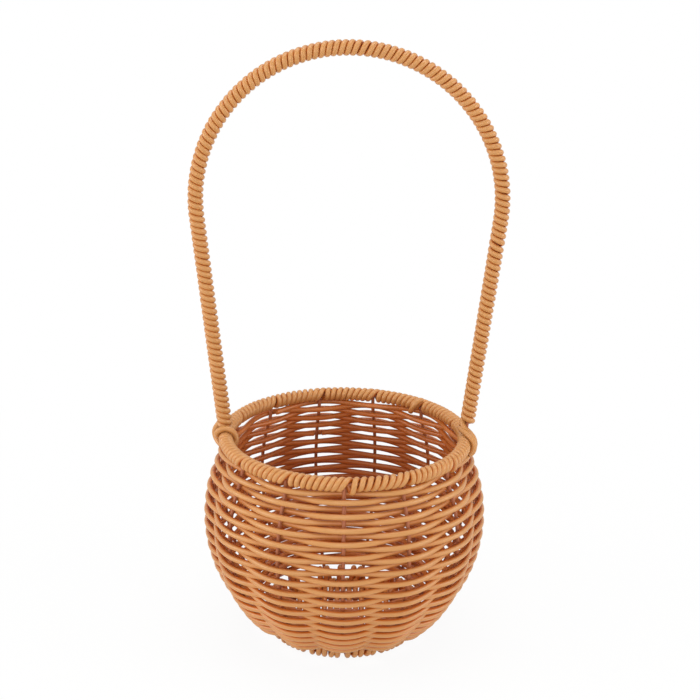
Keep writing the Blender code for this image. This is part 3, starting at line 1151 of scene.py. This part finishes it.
class BASKET_OT_handle_winding(bpy.types.Operator):
    """Wind the handle from foot to foot with two strands side by side"""

    bl_idname = "basket.handle_winding"
    bl_label = "Handle winding"

    def execute(self, context):
        size = sizes()
        line = HandleLine()
        start = (size.ring_wire + 3 * size.cane) / 2
        end = start + size.cane
        wound = line.length - start - end - sum(slip for _, slip in HANDLE_SLIPS)
        total = 2 * round(wound / size.handle_pitch / 2) + 1
        pitch = wound / total
        radius = (size.handle_wire + size.cane) / 2 + CONTACT
        strands = []
        for first in range(2):
            points, cores = [], []
            for step in range(-first * STEPS_PER_TURN // 2, total * STEPS_PER_TURN // 2 + 1):
                turn = step / STEPS_PER_TURN
                place = first + 2 * turn
                phase = math.tau * turn
                distance = start + pitch * place - pitch / 2
                for share, slip in HANDLE_SLIPS:
                    past = place - share * total
                    distance += slip * (0.5 + 0.5 * math.tanh(past / SLIP_TURNS))
                swing = math.sin(math.pi * place / total - HANDLE_LEAN_SHIFT)
                distance += HANDLE_LEAN * (HANDLE_LEAN_MIDDLE - swing) * math.cos(phase)
                distance += wander("handle_place", turn, first)
                reach = radius + wander("handle_lift", turn, first)
                cores.append(line.place(distance))
                points.append(cores[-1] + reach * line.across(distance, phase))
            sides = sides_from(cores, points)
            name = f"handle_strand_{first}"
            strands.append(lay_run(name, points, size.cane, CANE_RESOLUTION, sides=sides))
        finish_piece(join_pieces("handle_winding_wound", strands), "cane", "handle_winding")
        return {"FINISHED"}


def rim_spot(along, turn, reach):
    """A point by distance along the rim, degrees round it from outside, and reach from its wire."""
    phase = math.radians(turn)
    return around(
        along / RIM_RADIUS,
        RIM_RADIUS + reach * math.cos(phase),
        RIM_HEIGHT + reach * math.sin(phase),
    )


def on_rim(side, stops):
    """The places of a tie's stops over the rim, at the foot of the handle on this side."""
    foot = math.pi / 2 * RIM_RADIUS
    return [
        rim_spot(side * (foot - along / 1000), turn, reach / 1000) for along, turn, reach in stops
    ]


def on_leg(side, stops):
    """The places of a tie's stops up the leg on this side, turned from outside to the back."""
    line = HandleLine()
    spots = []
    for up, turn, reach in stops:
        distance = up / 1000 if side < 0 else line.length - up / 1000
        across = line.across(distance, math.radians(turn))
        spots.append(line.place(distance) + reach / 1000 * across)
    return spots


def through(stops):
    """Points of a smooth strand through these stops."""
    padded = [2 * stops[0] - stops[1], *stops, 2 * stops[-1] - stops[-2]]
    points = []
    for index in range(len(stops) - 1):
        for step in range(STEPS_PER_STOP):
            points.append(curved(padded[index : index + 4], step / STEPS_PER_STOP))
    return [*points, stops[-1]]


class BASKET_OT_handle_lashings(bpy.types.Operator):
    """Bind the feet of the handle to the rim"""

    bl_idname = "basket.handle_lashings"
    bl_label = "Handle lashings"

    def execute(self, context):
        strands = {
            "handle_lashing_left": on_rim(-1, LEFT_TIE),
            "handle_lashing_right_1": on_leg(1, RIGHT_TIE_1_ON_LEG) + on_rim(1, RIGHT_TIE_1),
            "handle_lashing_right_2": on_rim(1, RIGHT_TIE_2),
        }
        for node, stops in strands.items():
            cane = lay_run(f"{node}_tied", through(stops), sizes().cane, CANE_RESOLUTION)
            finish_piece(cane, "cane", node)
        tail = through(on_leg(-1, LEFT_TAIL_ON_LEG) + on_rim(-1, LEFT_TAIL))
        end = lay_run("handle_tail_left_tucked", tail, sizes().cane, CANE_RESOLUTION)
        finish_piece(end, "cane")
        return {"FINISHED"}


# The stage


def seen_by_eye(tree):
    """1 for a ray that the eye follows, straight, mirrored or through glass, and else 0."""
    path = add_node(tree, "ShaderNodeLightPath")
    shown = add_node(
        tree,
        "ShaderNodeMath",
        {"operation": "MAXIMUM"},
        links={0: path.outputs["Is Camera Ray"], 1: path.outputs["Is Glossy Ray"]},
    )
    either = add_node(
        tree,
        "ShaderNodeMath",
        {"operation": "MAXIMUM"},
        links={0: shown.outputs["Value"], 1: path.outputs["Is Transmission Ray"]},
    )
    return either.outputs["Value"]


def floor_material():
    """Matt white card, which keeps a faint shadow round the basket but reads white to the eye."""
    material, tree, output = new_material("matt_card")
    card = add_node(tree, "ShaderNodeBsdfDiffuse", values={"Color": (*colours().floor, 1.0)})
    white = add_node(tree, "ShaderNodeEmission", values={"Strength": 1.0})
    place = add_node(tree, "ShaderNodeTexCoord")
    away = add_node(
        tree, "ShaderNodeVectorMath", {"operation": "LENGTH"}, links={0: place.outputs["Object"]}
    )
    share = add_node(
        tree,
        "ShaderNodeMapRange",
        {"interpolation_type": "SMOOTHSTEP"},
        {"From Min": SHADOW_NEAR, "From Max": SHADOW_FAR, "To Min": SHADOW_WHITE, "To Max": 1.0},
        {"Value": away.outputs["Value"]},
    )
    amount = add_node(
        tree,
        "ShaderNodeMath",
        {"operation": "MULTIPLY"},
        links={0: seen_by_eye(tree), 1: share.outputs["Result"]},
    )
    mixed = add_node(
        tree,
        "ShaderNodeMixShader",
        links={0: amount.outputs["Value"], 1: card.outputs["BSDF"], 2: white.outputs["Emission"]},
    )
    tree.links.new(mixed.outputs["Shader"], output.inputs["Surface"])
    return material


class BASKET_OT_stage(bpy.types.Operator):
    """Set the floor, the lamps, the world and the camera"""

    bl_idname = "basket.stage"
    bl_label = "Stage"

    def execute(self, context):
        scene = context.scene
        scene.view_settings.view_transform = "Standard"
        bpy.ops.object.select_all(action="DESELECT")
        bpy.ops.mesh.primitive_plane_add(size=FLOOR_SIZE)
        floor = context.object
        floor.name = "stage_floor"
        floor.data.materials.append(floor_material())
        world = bpy.data.worlds.new("soft_box")
        scene.world = world
        world.use_nodes = True
        tree = world.node_tree
        tree.nodes.clear()
        output = add_node(tree, "ShaderNodeOutputWorld")
        strength = add_node(
            tree,
            "ShaderNodeMapRange",
            values={"To Min": WORLD_LIGHT, "To Max": 1.0},
            links={"Value": seen_by_eye(tree)},
        )
        sky = add_node(
            tree,
            "ShaderNodeBackground",
            values={"Color": (1.0, 1.0, 1.0, 1.0)},
            links={"Strength": strength.outputs["Result"]},
        )
        tree.links.new(sky.outputs["Background"], output.inputs["Surface"])
        for name, spot, size, power in LAMPS:
            bpy.ops.object.light_add(type="AREA", location=spot)
            lamp = context.object
            lamp.name = name
            lamp.data.size = size
            lamp.data.energy = power
            aim = LAMP_AIM - Vector(spot)
            lamp.rotation_euler = aim.to_track_quat("-Z", "Y").to_euler()
        bpy.ops.object.camera_add(location=CAMERA_PLACE)
        camera = context.object
        camera.data.sensor_width = 36.0
        camera.data.lens = CAMERA_LENS
        camera.data.clip_start = 0.01
        tilt = Matrix.Rotation(math.radians(90 - CAMERA_TILT), 4, "X")
        roll = Matrix.Rotation(math.radians(CAMERA_ROLL), 4, "Z")
        camera.rotation_euler = (tilt @ roll).to_euler()
        scene.camera = camera
        return {"FINISHED"}


OPERATORS = (
    BASKET_OT_stage,
    BASKET_OT_ring_wires,
    BASKET_OT_stakes,
    BASKET_OT_floor_wires,
    BASKET_OT_floor_canes,
    BASKET_OT_weavers,
    BASKET_OT_rim_winding,
    BASKET_OT_foot_winding,
    BASKET_OT_handle_wire,
    BASKET_OT_handle_winding,
    BASKET_OT_handle_lashings,
)


class BASKET_PT_panel(bpy.types.Panel):
    """The basket's sizes, colours and steps"""

    bl_idname = "BASKET_PT_panel"
    bl_label = "Knitting Basket"
    bl_space_type = "VIEW_3D"
    bl_region_type = "UI"
    bl_category = "Basket"

    def draw(self, context):
        for group in (context.scene.basket_sizes, context.scene.basket_colours):
            column = self.layout.column()
            for name in group.bl_rna.properties.keys():
                if name not in ("rna_type", "name"):
                    column.prop(group, name)
        for operator in OPERATORS:
            self.layout.operator(operator.bl_idname)


CLASSES = (BasketSizes, BasketColours, *OPERATORS, BASKET_PT_panel)


def register():
    for made in CLASSES:
        bpy.utils.register_class(made)
    bpy.types.Scene.basket_sizes = bpy.props.PointerProperty(type=BasketSizes)
    bpy.types.Scene.basket_colours = bpy.props.PointerProperty(type=BasketColours)


def unregister():
    del bpy.types.Scene.basket_colours
    del bpy.types.Scene.basket_sizes
    for made in reversed(CLASSES):
        bpy.utils.unregister_class(made)


def main():
    register()
    bpy.ops.basket.stage()
    bpy.ops.basket.ring_wires()
    bpy.ops.basket.stakes()
    bpy.ops.basket.floor_wires()
    bpy.ops.basket.floor_canes()
    bpy.ops.basket.weavers()
    bpy.ops.basket.rim_winding()
    bpy.ops.basket.foot_winding()
    bpy.ops.basket.handle_wire()
    bpy.ops.basket.handle_winding()
    bpy.ops.basket.handle_lashings()


if __name__ == "__main__":
    main()
